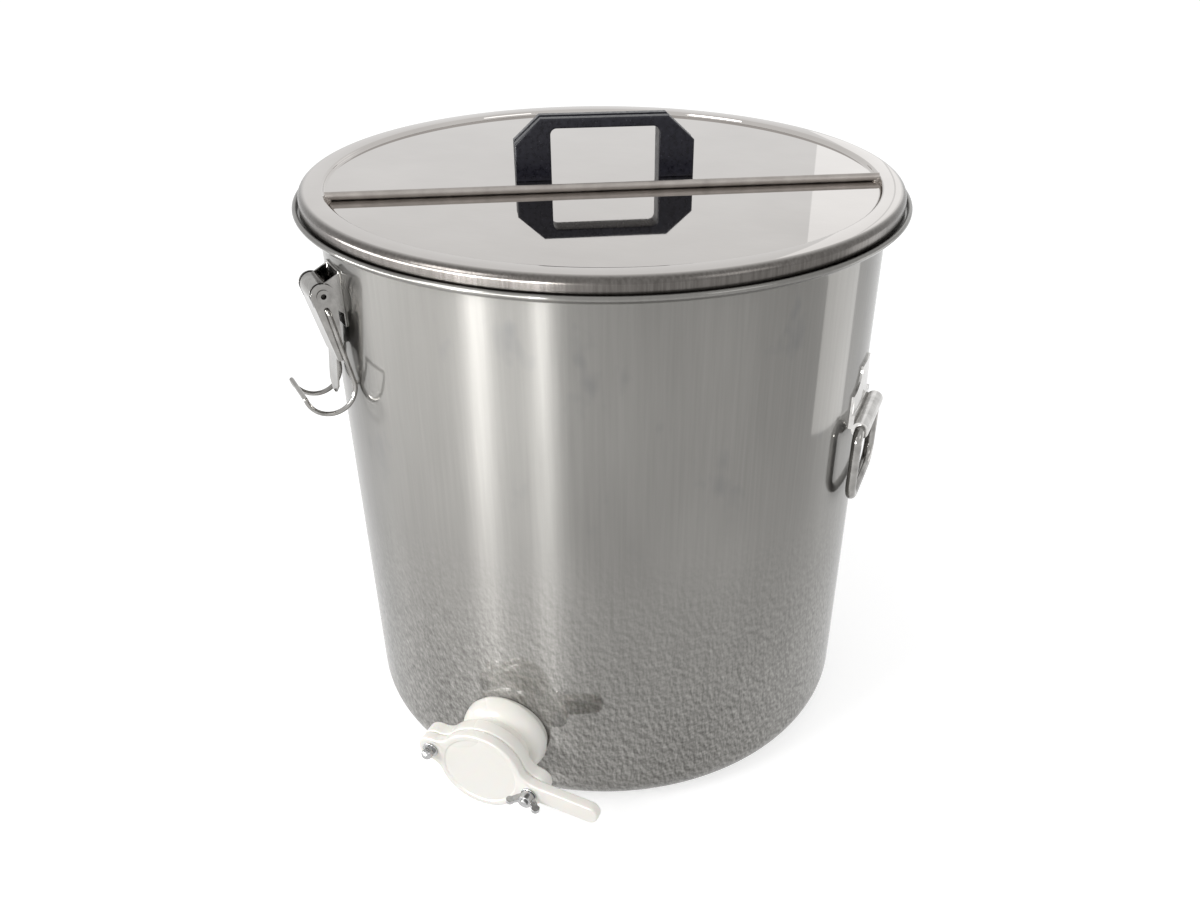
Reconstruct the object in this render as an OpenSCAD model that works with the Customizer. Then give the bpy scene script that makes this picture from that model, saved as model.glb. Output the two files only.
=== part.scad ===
// Honey settling tank: drawn steel vessel, pressed lid, lid latches, drop handles and a nylon gate.
// Millimetres, +Z up. The origin is the centre of the tank's base, and the gate faces -Y.

/* [Tank] */
// Outer diameter of the straight wall
tank_d = 371; // [340:1:420]
// Height from the base to the top of the rolled lip
tank_h = 390; // [360:1:480]
// Sheet thickness of the tank
tank_sheet = 1; // [0.8:0.1:1.4]
// Outer radius of the rounded bottom edge
bottom_round = 25; // [16:1:28]
// How far the rim stands out past the wall, to the outside of the lip
rim_reach = 14.5; // [12.5:0.5:17]
// Thickness of the rolled lip
lip_d = 3.2; // [2.6:0.2:4]
// Bend radius where the wall flares out into the rim ledge
flare_round = 5; // [3:0.5:7]
// Depth of the ledge that the lid stands on, below the top of the lip
ledge_drop = 3.5; // [3:0.25:5]

/* [Lid] */
// Sheet thickness of the lid
lid_sheet = 1; // [0.8:0.1:1.3]
// Gap between the lid's skirt and the lip around it
lid_gap = 1.3; // [0.8:0.1:2]
// Height of the lid's raised ring above the lip
crest_rise = 7; // [6:0.5:9]
// Width of the raised ring
ring_w = 16; // [13:0.5:18]
// Outer shoulder radius of the ring
shoulder_round = 4.5; // [3:0.5:6]
// Inner edge radius of the ring
ring_round = 2.5; // [1.5:0.25:3]
// Depth of the panel's edge below the ring
panel_drop = 4; // [3:0.25:5]
// Rise of the panel's crowned middle above its edge
panel_crown = 3.5; // [2:0.25:4]
// Diameter of the welded rod
rod_d = 5; // [4:0.5:7]
// Distance of the rod from the lid's centre
rod_offset = 34; // [26:1:60]
// Turn of the lid on the tank, from +X to the handle
lid_turn = 29.5; // [0:0.5:90]

/* [Lid handle] */
// Width of the handle across its legs
grip_w = 116; // [110:1:140]
// Height of the handle above the panel
grip_h = 38; // [36:1:50]
// Depth of the handle, front to back
grip_t = 17; // [12:1:20]
// Width of each leg
grip_leg_w = 23; // [20:1:28]
// Thickness of the top bar
grip_bar = 6; // [5:0.5:8]
// Width of the top corner chamfers
grip_cut_w = 17; // [12:1:20]
// Height of the top corner chamfers
grip_cut_h = 15; // [12:1:20]
// Corner radius of the finger opening
grip_round = 4; // [2:0.5:6]
// Width of the groove round the outside edge
grip_groove_w = 5; // [3:0.5:7]
// Depth of that groove
grip_groove = 1.2; // [0.8:0.1:1.6]
// Diameter of the screws
grip_screw_d = 4; // [3:0.5:5]

/* [Latch] */
// Bearing of the front latch round the tank, from the gate
latch_turn = -40; // [-55:1:-35]
// Drop of the lever's pivot below the top of the lip
latch_drop = 36; // [35:0.5:40]
// Distance of the lever's pivot from the wall
latch_reach = 11.8; // [11.5:0.1:13]
// Sheet thickness of the base and the lever
latch_sheet = 1.2; // [1:0.1:1.4]
// Width of the lever over its flanges
lever_w = 28; // [26:1:30]
// Radius of the lever's rounded top
lever_round = 7.4; // [7:0.1:8]
// Length of the lever's sloping back
lever_back = 42; // [38:1:44]
// Slope of the lever's back towards the wall
lever_lean = 14; // [10:1:15]
// Length of the finger tongue
tongue_l = 25; // [18:1:28]
// Width of the finger tongue
tongue_w = 18; // [14:1:20]
// Outward slope of the finger tongue
tongue_lean = 6; // [0:1:16]
// Diameter of the tubular rivet
rivet_d = 5; // [4.5:0.1:5.5]
// Bore of the tubular rivet
rivet_bore = 3.4; // [2.8:0.1:3.6]
// Wire diameter of the bail
wire_d = 3; // [2.6:0.1:3.2]
// Length of the bail from its pivot to the hook
bail_leg = 48; // [48:0.5:50]
// Radius of the hook, to the middle of the wire
hook_round = 16; // [16:0.25:17]
// Drop of the bail's pivot below the lever's pivot
bail_drop = 8.8; // [8.4:0.1:9.2]
// Inward slope of the hanging bail
bail_lean = 10.8; // [9:0.1:11]

/* [Drop handle] */
// Height of the handle's pivot above the base
drop_z = 258; // [240:1:275]
// Rod diameter of the handle
drop_d = 7; // [6:0.5:8]
// Width of the handle between the middles of its legs
drop_w = 66; // [60:1:80]
// Length of the handle, from its pivot to the middle of its bar
drop_l = 50; // [44:1:60]
// Bend radius of the lower corners, to the middle of the rod
drop_round = 13; // [10:1:16]
// Sheet thickness of the bracket
bracket_sheet = 1.6; // [1.2:0.1:2]
// Height of the bracket above the pivot
bracket_h = 39; // [34:1:46]
// Width of the bracket at its top
bracket_top_w = 24; // [18:1:30]
// Wall of the curled sleeve
sleeve_wall = 2.4; // [1.8:0.1:3]

/* [Gate] */
// Height of the outlet's centre above the base
gate_z = 64; // [60:1:90]
// Diameter of the flow passage
gate_bore = 40; // [36:1:40]
// Wall of the threaded spigot
spigot_wall = 3.75; // [3:0.25:5]
// Length of the spigot inside the tank
spigot_l = 18; // [16:1:24]
// Width of the flange against the wall, past the spigot
flange_w = 7.25; // [6:0.25:9]
// Thickness of that flange
flange_t = 11; // [10:0.5:12]
// Length of the neck between the flange and the front plate
neck_l = 13; // [12:1:17]
// Width of the front plate and of the blade, past the flow passage
plate_w = 11; // [9:0.5:13]
// Thickness of the front plate
plate_t = 10; // [8:0.5:12]
// Thickness of the blade
blade_t = 7.5; // [6:0.5:9]
// Distance of each bolt from the edge of the front plate
bolt_out = 6; // [5:0.5:8]
// Radius of the ears round the bolts
ear_round = 9.5; // [9:0.25:10]
// Diameter of the bolts
bolt_d = 5; // [4.5:0.25:5]
// Slope of the bolt line, from the pivot down to the clamp
gate_lean = 12.5; // [0:0.5:20]
// Width of the rim round the sunk face of the blade
face_rim = 4; // [3:0.5:6]
// Reach of the blade's finger lever past the clamp bolt
finger_l = 49; // [40:1:60]
// Width of the blade's finger lever
finger_w = 14; // [12:1:16]
// Upward slope of the finger lever from the bolt line
finger_tilt = 5; // [0:0.5:10]
// Width of the lock nut inside the tank, past the spigot
nut_w = 8.25; // [7:0.25:10]
// Thickness of the lock nut
nut_t = 10; // [8:1:12]
// Span of the wing nut
wing_span = 24; // [20:1:28]

/* [Hidden] */
$fn = 96;
wall_fn = 360;

// Overrun of every cut past the surface that it opens
over = 2;
// Gap between pieces that move past each other
gap = 0.3;
// How far round outlines run into the straight ones that carry them on
tuck = 0.1;
// Radial play of a pin in its hole
play = 0.08;
// Bearings of the handles and of the rear latch
right_turn = 90;
left_turn = -90;
half_turn = 180;

// Tank
tank_r = tank_d / 2;
rim_r = tank_r + rim_reach;
ledge_z = tank_h - ledge_drop;
flare_z = ledge_z - tank_sheet - flare_round;
lip_x = rim_r - lip_d / 2;

// Lid
lid_r = rim_r - lip_d - lid_gap;
lid_foot = ledge_z + gap;
crest_z = tank_h + crest_rise;
ring_in = lid_r - ring_w;
panel_z = crest_z - panel_drop;
panel_top = panel_z + panel_crown;
rod_z = panel_top + rod_d / 2;
crown_shares = [[0, 1], [0.36, 1], [0.6, 0.74], [0.8, 0.43], [1, 0]];

// Lid handle and its fixings
grip_hole_h = grip_h - grip_bar;
screw_x = (grip_w - grip_leg_w) / 2;
screw_l = 14;
screw_head_d = 2 * grip_screw_d;
screw_head_t = 0.7 * grip_screw_d;
washer_t = 1;
washer_d = 3 * grip_screw_d;
screw_play = 0.2;

// Latch
latch_z = tank_h - latch_drop;
ear_t = latch_sheet;
rivet_head_d = 1.6 * rivet_d;
rivet_head_t = 0.8;
lever_in = lever_w / 2 - latch_sheet;
ear_out = lever_in - gap - latch_sheet / 12;
ear_in = ear_out - ear_t;
ear_round_r = 1.2 * rivet_d;
wrap_w = 2 * (ear_in - 2 * gap);
slot_share = 0.9;
slot_drop = slot_share * lever_round;
base_up = 13;
base_down = 22;
ear_root_down = 15;
bail_in = 0.9;
bail_half = lever_w / 2 + rivet_head_t + gap + wire_d / 2;
bail_bend = wire_d * 5 / 6;
pin_end = ear_out + gap + latch_sheet / 12;
tongue_point = 6;
tongue_tip_share = 0.35;
back_top = (lever_round - tuck) * [cos(lever_lean), -sin(lever_lean)];
back_end = back_top - lever_back * [sin(lever_lean), cos(lever_lean)];

// Drop handle
sleeve_r = drop_d / 2 + sleeve_wall;
drop_bend = drop_d;
sleeve_half = drop_w / 2 - drop_bend;
drop_u = bracket_sheet + sleeve_r - sleeve_wall / 2;
drop_pin = 18;
bell_round = 16;
web_h = sleeve_r + 4;

// Gate
gasket_t = 1.5;
gasket_share = 0.72;
inner_gasket_t = 1.2;
thread_play = 0.1;
hole_play = 0.45;
spigot_d = gate_bore + 2 * spigot_wall;
spigot_r = spigot_d / 2;
flange_d = spigot_d + 2 * flange_w;
gasket_d = spigot_d + 2 * gasket_share * flange_w;
plate_d = gate_bore + 2 * plate_w;
bolt_reach = plate_d / 2 + bolt_out;
face_d = plate_d - 2 * face_rim;
lever_reach = bolt_reach + finger_l;
nut_d = spigot_d + 2 * nut_w;
flange_u = gasket_t;
neck_u = flange_u + flange_t;
plate_u = neck_u + neck_l;
blade_u = plate_u + plate_t + gap;
face_u = blade_u + blade_t;
washer_u = face_u + gap;
neck_d = gate_bore + 8;
rim_round = flange_t / 2;
face_sink = 0.8;
head_d = 1.9 * bolt_d;
head_t = 0.7 * bolt_d;
bolt_washer_t = 1;
bolt_washer_d = 2.2 * bolt_d;
dome_flat = 1.6 * bolt_d;
dome_h = 0.7 * bolt_d;
dome_r = 0.78 * bolt_d;
wing_hub_r = 0.95 * bolt_d;
wing_hub_h = 1.2 * bolt_d;
wing_t = 2.4;
wing_tip_r = 2.8;
wing_rise = 8;
wing_turn = 8;
clamp_stub = 1.5;
notch_r = bolt_d / 2 + 0.9;
ear_fillet = 12;
fillet_a = plate_d / 2 + ear_fillet - tuck;
fillet_b = ear_round + ear_fillet - tuck;
fillet_x = (fillet_a * fillet_a - fillet_b * fillet_b + bolt_reach * bolt_reach) / (2 * bolt_reach);
fillet_y = sqrt(fillet_a * fillet_a - fillet_x * fillet_x);
finger_root_share = 0.4;
finger_run = lever_reach - finger_root_share * bolt_reach;
nut_lugs = 6;
lug_r = 7;
nut_seat = tank_r - tank_sheet;
nut_side = sqrt(nut_seat * nut_seat - nut_d * nut_d / 4);
nut_face_r = nut_side - inner_gasket_t;

steel = [0.78, 0.78, 0.77];
bright = [0.86, 0.86, 0.85];
black = [0.09, 0.09, 0.11];
cream = [0.93, 0.90, 0.83];
white = [0.95, 0.95, 0.93];
grey = [0.55, 0.55, 0.55];

// Placing helpers

// Puts a shape whose back is at the wall, with -Y outwards, at a bearing from the gate
module at_wall(turn) {
    rotate([0, 0, turn]) translate([0, -tank_r, 0]) children();
}

// Carries an outline drawn as (distance from the wall, height) along the tangent, centred
module side_plate(width) {
    rotate([90, 0, -90]) linear_extrude(width, center = true) children();
}

// Stands a shape on the gate's axis, at a distance from the wall, with its Z outwards
module on_gate(u) {
    translate([0, -tank_r - u, gate_z]) rotate([90, 0, 0]) rotate([0, 0, -gate_lean]) children();
}

// Turns the lid's own frame, with the handle along X, to its place on the tank
module on_lid() {
    rotate([0, 0, lid_turn]) children();
}

// Half section of a cup: straight wall, flat bottom and a rounded bottom edge
module cup_section(inset, top) {
    r = tank_r - inset;
    e = bottom_round - inset;
    translate([0, inset]) square([r - e, top - inset]);
    translate([0, bottom_round]) square([r, top - bottom_round]);
    translate([r - e, bottom_round]) circle(e);
}

// Half section of the rim: the flare, the ledge and the rolled lip
module rim_section() {
    intersection() {
        translate([tank_r + flare_round, flare_z]) difference() {
            circle(flare_round + tank_sheet);
            circle(flare_round);
        }
        translate([tank_r - tank_sheet, flare_z]) square(flare_round + tank_sheet);
    }
    translate([tank_r + flare_round, ledge_z - tank_sheet])
        square([lip_x - tank_r - flare_round, tank_sheet]);
    translate([lip_x - tank_sheet / 2, ledge_z - tank_sheet])
        square([tank_sheet, tank_h - lip_d / 2 - ledge_z + tank_sheet]);
    translate([lip_x, tank_h - lip_d / 2]) circle(lip_d / 2);
}

module tank_rim() {
    color(steel) rotate_extrude() rim_section();
}

module tank_shell() {
    color(steel) difference() {
        rotate_extrude() difference() {
            cup_section(0, flare_z);
            cup_section(tank_sheet, flare_z + over);
        }
        translate([0, -tank_r + 2 * bottom_round, gate_z]) rotate([90, 0, 0])
            cylinder(h = 3 * bottom_round, r = spigot_r + hole_play);
    }
}

// Half section of the lid's raised ring, drawn in by the sheet for its hollow
module ring_outline(inset, foot) {
    outer = shoulder_round - inset;
    inner = ring_round - inset;
    top = crest_z - inset;
    left = ring_in + inset;
    translate([left, foot]) square([ring_w - 2 * inset, top - outer - foot]);
    translate([left, foot]) square([2 * inner, top - inner - foot]);
    translate([left + inner, foot]) square([ring_w - 2 * inset - outer - inner, top - foot]);
    translate([lid_r - inset - outer, top - outer]) circle(outer);
    translate([left + inner, top - inner]) circle(inner);
}

// Raised ring of the lid, with the skirt that stands on the ledge inside the lip
module lid_ring() {
    wall_foot = panel_z - lid_sheet;
    color(bright) rotate_extrude() difference() {
        union() {
            ring_outline(0, wall_foot);
            translate([lid_r - shoulder_round, lid_foot])
                square([shoulder_round, crest_z - shoulder_round - lid_foot]);
        }
        ring_outline(lid_sheet, lid_foot - over);
    }
}

// Sunk panel inside the ring, crowned to a flat middle with the holes for the handle's screws
module lid_panel() {
    upper = [for (share = crown_shares) [share[0] * ring_in, panel_z + share[1] * panel_crown]];
    lower = [for (i = [len(upper) - 1:-1:0]) upper[i] - [0, lid_sheet]];
    color(bright) on_lid() difference() {
        rotate_extrude() polygon(concat(upper, lower));
        for (side = [-1, 1]) translate([side * screw_x, 0, panel_top - lid_sheet - over])
            cylinder(h = lid_sheet + 2 * over, d = grip_screw_d + 2 * screw_play);
    }
}

module lid_rod() {
    color(steel) on_lid() intersection() {
        translate([-lid_r, -rod_offset, rod_z]) rotate([0, 90, 0]) cylinder(h = 2 * lid_r, d = rod_d);
        translate([0, 0, panel_top - over]) cylinder(h = rod_d + 2 * over, r = ring_in - play);
    }
}

// Front outline of the bridge handle, drawn in by a margin on its outer edge
module grip_outline(inset) {
    half = grip_w / 2 - inset;
    top = grip_h - inset;
    polygon([[-half, 0], [half, 0], [half, top - grip_cut_h], [half - grip_cut_w, top],
        [-half + grip_cut_w, top], [-half, top - grip_cut_h]]);
}

// Finger opening, round at its upper corners and open to the lid below
module grip_opening() {
    w = grip_w - 2 * grip_leg_w;
    translate([-w / 2, -over]) square([w, grip_hole_h - grip_round + over]);
    translate([grip_round - w / 2, 0]) square([w - 2 * grip_round, grip_hole_h]);
    for (side = [-1, 1]) translate([side * (w / 2 - grip_round), grip_hole_h - grip_round])
        circle(grip_round);
}

module lid_handle() {
    color(black) on_lid() translate([0, 0, panel_top]) difference() {
        rotate([90, 0, 0]) difference() {
            linear_extrude(grip_t, center = true) difference() {
                grip_outline(0);
                grip_opening();
            }
            linear_extrude(grip_groove_w, center = true) difference() {
                translate([-grip_w, grip_groove]) square([2 * grip_w, 2 * grip_h]);
                grip_outline(grip_groove);
            }
        }
        for (side = [-1, 1]) translate([side * screw_x, 0, -over])
            cylinder(h = screw_l + over, d = grip_screw_d + 2 * play);
    }
}

module lid_handle_screws() {
    head_z = panel_top - lid_sheet - washer_t;
    color(bright) on_lid() for (side = [-1, 1]) translate([side * screw_x, 0, head_z]) {
        cylinder(h = lid_sheet + washer_t + screw_l - over, d = grip_screw_d);
        translate([0, 0, -screw_head_t]) cylinder(h = screw_head_t, d = screw_head_d);
    }
}

module lid_handle_washers() {
    color(bright) on_lid() for (side = [-1, 1])
        translate([side * screw_x, 0, panel_top - lid_sheet - washer_t]) difference() {
            cylinder(h = washer_t, d = washer_d);
            translate([0, 0, -over]) cylinder(h = washer_t + 2 * over, d = grip_screw_d + 2 * screw_play);
        }
}

// Latch base: a plate curved to the wall, with two ears that hold the rivet
module latch_base(turn) {
    color(grey) rotate([0, 0, turn]) difference() {
        union() {
            intersection() {
                translate([0, 0, latch_z - base_down]) cylinder(h = base_up + base_down, r = tank_r + latch_sheet, $fn = wall_fn);
                translate([-ear_out, -tank_r - 2 * latch_sheet, latch_z - base_down])
                    cube([2 * ear_out, tank_r, base_up + base_down]);
            }
            translate([0, -tank_r, latch_z]) for (side = [-1, 1])
                translate([side * (ear_out - ear_t / 2), 0, 0]) side_plate(ear_t) {
                    translate([latch_reach, 0]) circle(ear_round_r);
                    polygon([[-over, base_up], [-over, -ear_root_down], [latch_reach, -ear_round_r],
                        [latch_reach, ear_round_r]]);
                }
        }
        translate([0, 0, latch_z - base_down - over]) cylinder(h = base_up + base_down + 2 * over, r = tank_r, $fn = wall_fn);
        translate([0, -tank_r - latch_reach, latch_z]) rotate([0, 90, 0])
            cylinder(h = lever_w, d = rivet_d + 2 * play, center = true);
    }
}

// Side outline of the lever about its pivot: rounded top, sloping back and an edge along the wall
module lever_outline() {
    circle(lever_round);
    polygon([back_top, back_end, [tuck - lever_round, back_end.y], [tuck - lever_round, 0]]);
}

// Hollow of the lever's channel, open towards the wall and at the foot
module lever_hollow() {
    r = lever_round - latch_sheet;
    top = (r - tuck) * [cos(lever_lean), -sin(lever_lean)];
    end = top - (lever_back + over) * [sin(lever_lean), cos(lever_lean)];
    circle(r);
    polygon([top, end, [-lever_round - over, end.y], [-lever_round - over, 0], [0, 0]]);
}

// Finger tongue: a flat plate that runs on from the lever's back and ends in a blunt point
module lever_tongue() {
    half = tongue_w / 2;
    mid = back_end - latch_sheet / 2 * [cos(lever_lean), -sin(lever_lean)];
    translate([0, -mid.x, mid.y]) rotate([-tongue_lean, 0, 0]) rotate([90, 0, 0])
        linear_extrude(latch_sheet, center = true)
            polygon([[-half, over], [half, over], [half, tongue_point - tongue_l],
                [half * tongue_tip_share, -tongue_l], [-half * tongue_tip_share, -tongue_l],
                [-half, tongue_point - tongue_l]]);
}

module latch_lever(turn) {
    color(bright) at_wall(turn) translate([0, -latch_reach, latch_z]) difference() {
        union() {
            difference() {
                side_plate(lever_w) lever_outline();
                side_plate(2 * lever_in) lever_hollow();
            }
            lever_tongue();
        }
        for (side = [-1, 1]) translate([side * (wrap_w / 2 + lever_in) / 2, 0, 0])
            side_plate(lever_in - wrap_w / 2)
                translate([-lever_round - over, -slot_drop]) square(2 * (lever_round + over));
        rotate([0, 90, 0]) cylinder(h = lever_w + 2 * over, d = rivet_d + 2 * play, center = true);
        translate([0, bail_in, -bail_drop]) rotate([0, 90, 0])
            cylinder(h = lever_w + 2 * over, d = wire_d + 2 * play, center = true);
    }
}

module latch_rivet(turn) {
    half = lever_w / 2;
    color(bright) at_wall(turn) translate([0, -latch_reach, latch_z]) rotate([0, 90, 0]) difference() {
        union() {
            cylinder(h = lever_w + 2 * rivet_head_t, d = rivet_d, center = true);
            for (side = [-1, 1]) translate([0, 0, side * (half + (rivet_head_t + play) / 2)])
                cylinder(h = rivet_head_t - play, d = rivet_head_d, center = true);
        }
        cylinder(h = lever_w + 2 * rivet_head_t + 2 * over, d = rivet_bore, center = true);
    }
}

// Quarter bend of a round bar, from +X to +Y round the origin
module bend(radius, bar_d, angle) {
    rotate_extrude(angle = angle) translate([radius, 0]) circle(d = bar_d);
}

// Wire bail, hanging from the lever: two pins, two legs, two hooks and a cross bar
module latch_bail(turn) {
    color(bright) at_wall(turn) translate([0, bail_in - latch_reach, latch_z - bail_drop])
        rotate([bail_lean, 0, 0]) {
            for (side = [0, 1]) mirror([side, 0, 0]) {
                translate([pin_end, 0, 0]) rotate([0, 90, 0])
                    cylinder(h = bail_half - bail_bend - pin_end, d = wire_d);
                translate([bail_half - bail_bend, 0, -bail_bend]) rotate([90, 0, 0])
                    bend(bail_bend, wire_d, 90);
                translate([bail_half, 0, -bail_leg]) cylinder(h = bail_leg - bail_bend, d = wire_d);
                translate([bail_half, -hook_round, -bail_leg]) rotate([0, 90, 0]) rotate([0, 0, -90])
                    bend(hook_round, wire_d, 180);
                translate([bail_half, -2 * hook_round, -bail_leg]) sphere(d = wire_d);
            }
            translate([0, -2 * hook_round, -bail_leg]) rotate([0, 90, 0])
                cylinder(h = 2 * bail_half, d = wire_d, center = true);
        }
}

// Bell outline of the bracket, with hollow flanks, drawn as (tangent, height above the pivot)
module bell_outline() {
    top = bracket_top_w / 2;
    difference() {
        translate([-sleeve_half, 0]) square([2 * sleeve_half, bracket_h]);
        for (side = [-1, 1]) translate([side * (top + bell_round), bracket_h]) circle(bell_round);
    }
}

module handle_bracket(turn) {
    color(steel) rotate([0, 0, turn]) difference() {
        union() {
            intersection() {
                translate([0, 0, drop_z]) cylinder(h = bracket_h, r = tank_r + bracket_sheet, $fn = wall_fn);
                translate([0, 0, drop_z]) rotate([90, 0, 0]) linear_extrude(2 * tank_r) bell_outline();
            }
            translate([0, -tank_r, drop_z]) side_plate(2 * sleeve_half) {
                translate([drop_u, 0]) circle(sleeve_r);
                translate([-bell_round / 2, 0]) square([bell_round / 2 + bracket_sheet, web_h]);
            }
        }
        translate([0, 0, drop_z - 2 * sleeve_r]) cylinder(h = bracket_h + 4 * sleeve_r, r = tank_r, $fn = wall_fn);
        translate([0, -tank_r - drop_u, drop_z]) rotate([0, 90, 0])
            cylinder(h = drop_w, d = drop_d + 2 * play, center = true);
    }
}

// Rod bail of a drop handle: two pins in the sleeve, two legs and a bar with round corners
module handle_bail(turn) {
    half = drop_w / 2;
    color(bright) at_wall(turn) translate([0, -drop_u, drop_z]) {
        for (side = [0, 1]) mirror([side, 0, 0]) {
            translate([sleeve_half - drop_pin, 0, 0]) rotate([0, 90, 0]) cylinder(h = drop_pin, d = drop_d);
            translate([sleeve_half, 0, -drop_bend]) rotate([90, 0, 0]) bend(drop_bend, drop_d, 90);
            translate([half, 0, drop_round - drop_l])
                cylinder(h = drop_l - drop_round - drop_bend, d = drop_d);
            translate([half - drop_round, 0, drop_round - drop_l]) rotate([-90, 0, 0])
                bend(drop_round, drop_d, 90);
        }
        translate([0, 0, -drop_l]) rotate([0, 90, 0])
            cylinder(h = drop_w - 2 * drop_round, d = drop_d, center = true);
    }
}

// Ear on the bolt line at +X, joined to the round plate by hollow flanks
module gate_ear() {
    root = (plate_d - tuck) / 2 / fillet_a * [fillet_x, fillet_y];
    end = [bolt_reach, 0] + (ear_round - tuck / 2) / fillet_b * [fillet_x - bolt_reach, fillet_y];
    translate([bolt_reach, 0]) circle(ear_round);
    difference() {
        polygon([root, [root.x, -root.y], [end.x, -end.y], end]);
        for (side = [-1, 1]) translate([fillet_x, side * fillet_y]) circle(ear_fillet);
    }
}

// Outline of the front plate and of the blade: a disc with an ear on either side
module gate_plate_outline() {
    circle(d = plate_d);
    gate_ear();
    mirror([1, 0]) gate_ear();
}

module gate_body() {
    color(cream) difference() {
        union() {
            on_gate(-spigot_l) cylinder(h = spigot_l + flange_u + over, r = spigot_r);
            on_gate(flange_u) rotate_extrude() {
                square([flange_d / 2 - rim_round, flange_t]);
                translate([flange_d / 2 - rim_round, rim_round]) circle(rim_round);
            }
            on_gate(neck_u - over) cylinder(h = neck_l + 2 * over, d = neck_d);
            on_gate(plate_u) linear_extrude(plate_t) gate_plate_outline();
        }
        on_gate(-spigot_l - over) cylinder(h = spigot_l + plate_u + plate_t + 2 * over, d = gate_bore);
        for (side = [-1, 1]) on_gate(plate_u - over) translate([side * bolt_reach, 0, 0])
            cylinder(h = plate_t + 2 * over, d = bolt_d + 2 * play);
    }
}

// Ring between a flat face and the round wall, cut to the wall by the caller
module gasket_ring(from, to) {
    on_gate(from) difference() {
        cylinder(h = to - from, d = gasket_d);
        translate([0, 0, -over]) cylinder(h = to - from + 2 * over, r = spigot_r + hole_play);
    }
}

module gate_outer_gasket() {
    color(white) difference() {
        gasket_ring(-flange_t, gasket_t);
        translate([0, 0, gate_z - flange_d]) cylinder(h = 2 * flange_d, r = tank_r, $fn = wall_fn);
    }
}

module gate_inner_gasket() {
    color(white) intersection() {
        gasket_ring(nut_face_r - tank_r, 0);
        translate([0, 0, gate_z - flange_d]) cylinder(h = 2 * flange_d, r = nut_seat, $fn = wall_fn);
    }
}

module gate_lock_nut() {
    color(cream) on_gate(nut_face_r - tank_r - nut_t) difference() {
        linear_extrude(nut_t) {
            circle(d = nut_d - lug_r);
            for (k = [1 : nut_lugs]) rotate(k * 360 / nut_lugs)
                translate([nut_d / 2 - lug_r, 0]) circle(lug_r);
        }
        translate([0, 0, -over]) cylinder(h = nut_t + 2 * over, r = spigot_r + thread_play);
    }
}

// Blade outline: round plate, pivot ear, clamp ear with an open notch, and the finger lever
module blade_outline() {
    tip = finger_w / 2;
    difference() {
        union() {
            gate_plate_outline();
            translate([finger_root_share * bolt_reach, 0]) rotate(finger_tilt) {
                translate([0, tuck - tip]) square([finger_run - tip, finger_w - 2 * tuck]);
                translate([finger_run - tip, 0]) circle(tip);
            }
        }
        translate([bolt_reach, 0]) circle(notch_r);
        translate([bolt_reach - notch_r, -2 * ear_round]) square([2 * notch_r, 2 * ear_round]);
    }
}

module gate_blade() {
    color(cream) on_gate(blade_u) difference() {
        linear_extrude(blade_t) blade_outline();
        translate([0, 0, blade_t - face_sink]) cylinder(h = face_sink + over, d = face_d);
        translate([-bolt_reach, 0, -over]) cylinder(h = blade_t + 2 * over, d = bolt_d + 2 * play);
    }
}

// Pan head bolt from behind the front plate, on one side of the gate
module gate_bolt(side, length) {
    color(bright) on_gate(plate_u) translate([side * bolt_reach, 0, 0]) {
        cylinder(h = length, d = bolt_d);
        translate([0, 0, -head_t]) cylinder(h = head_t, d = head_d);
    }
}

module gate_pivot_bolt() {
    gate_bolt(-1, washer_u + bolt_washer_t + dome_h - plate_u);
}

module gate_clamp_bolt() {
    gate_bolt(1, washer_u + bolt_washer_t + gap + wing_hub_h + clamp_stub - plate_u);
}

module gate_pivot_nut() {
    color(bright) on_gate(washer_u + bolt_washer_t) translate([-bolt_reach, 0, 0]) difference() {
        union() {
            cylinder(h = dome_h, d = dome_flat, $fn = 6);
            intersection() {
                translate([0, 0, dome_h]) sphere(dome_r);
                translate([0, 0, dome_h]) cylinder(h = dome_r, r = dome_r);
            }
        }
        translate([0, 0, -over]) cylinder(h = dome_h + over, d = bolt_d + 2 * play);
    }
}

// Wing of the nut, drawn as (radius, height): it leans out and up to a round tip
module wing_outline() {
    tip = wing_span / 2 - wing_tip_r;
    root = wing_hub_r - wing_t / 2;
    translate([tip, wing_rise]) circle(wing_tip_r);
    polygon([[root, 0], [wing_hub_r, 0], [wing_span / 2, wing_rise], [tip - wing_tip_r, wing_rise],
        [root, wing_hub_h]]);
}

module gate_wing_nut() {
    color(bright) on_gate(washer_u + bolt_washer_t + gap) translate([bolt_reach, 0, 0]) difference() {
        union() {
            cylinder(h = wing_hub_h, r = wing_hub_r);
            for (side = [0, 180]) rotate([0, 0, side + wing_turn]) rotate([90, 0, 0])
                linear_extrude(wing_t, center = true) wing_outline();
        }
        translate([0, 0, -over]) cylinder(h = wing_hub_h + wing_rise + over, d = bolt_d + 2 * play);
    }
}

module gate_washers() {
    color(bright) on_gate(washer_u) for (side = [-1, 1]) translate([side * bolt_reach, 0, 0]) difference() {
        cylinder(h = bolt_washer_t, d = bolt_washer_d);
        translate([0, 0, -over]) cylinder(h = bolt_washer_t + 2 * over, d = bolt_d + 2 * play);
    }
}

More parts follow.
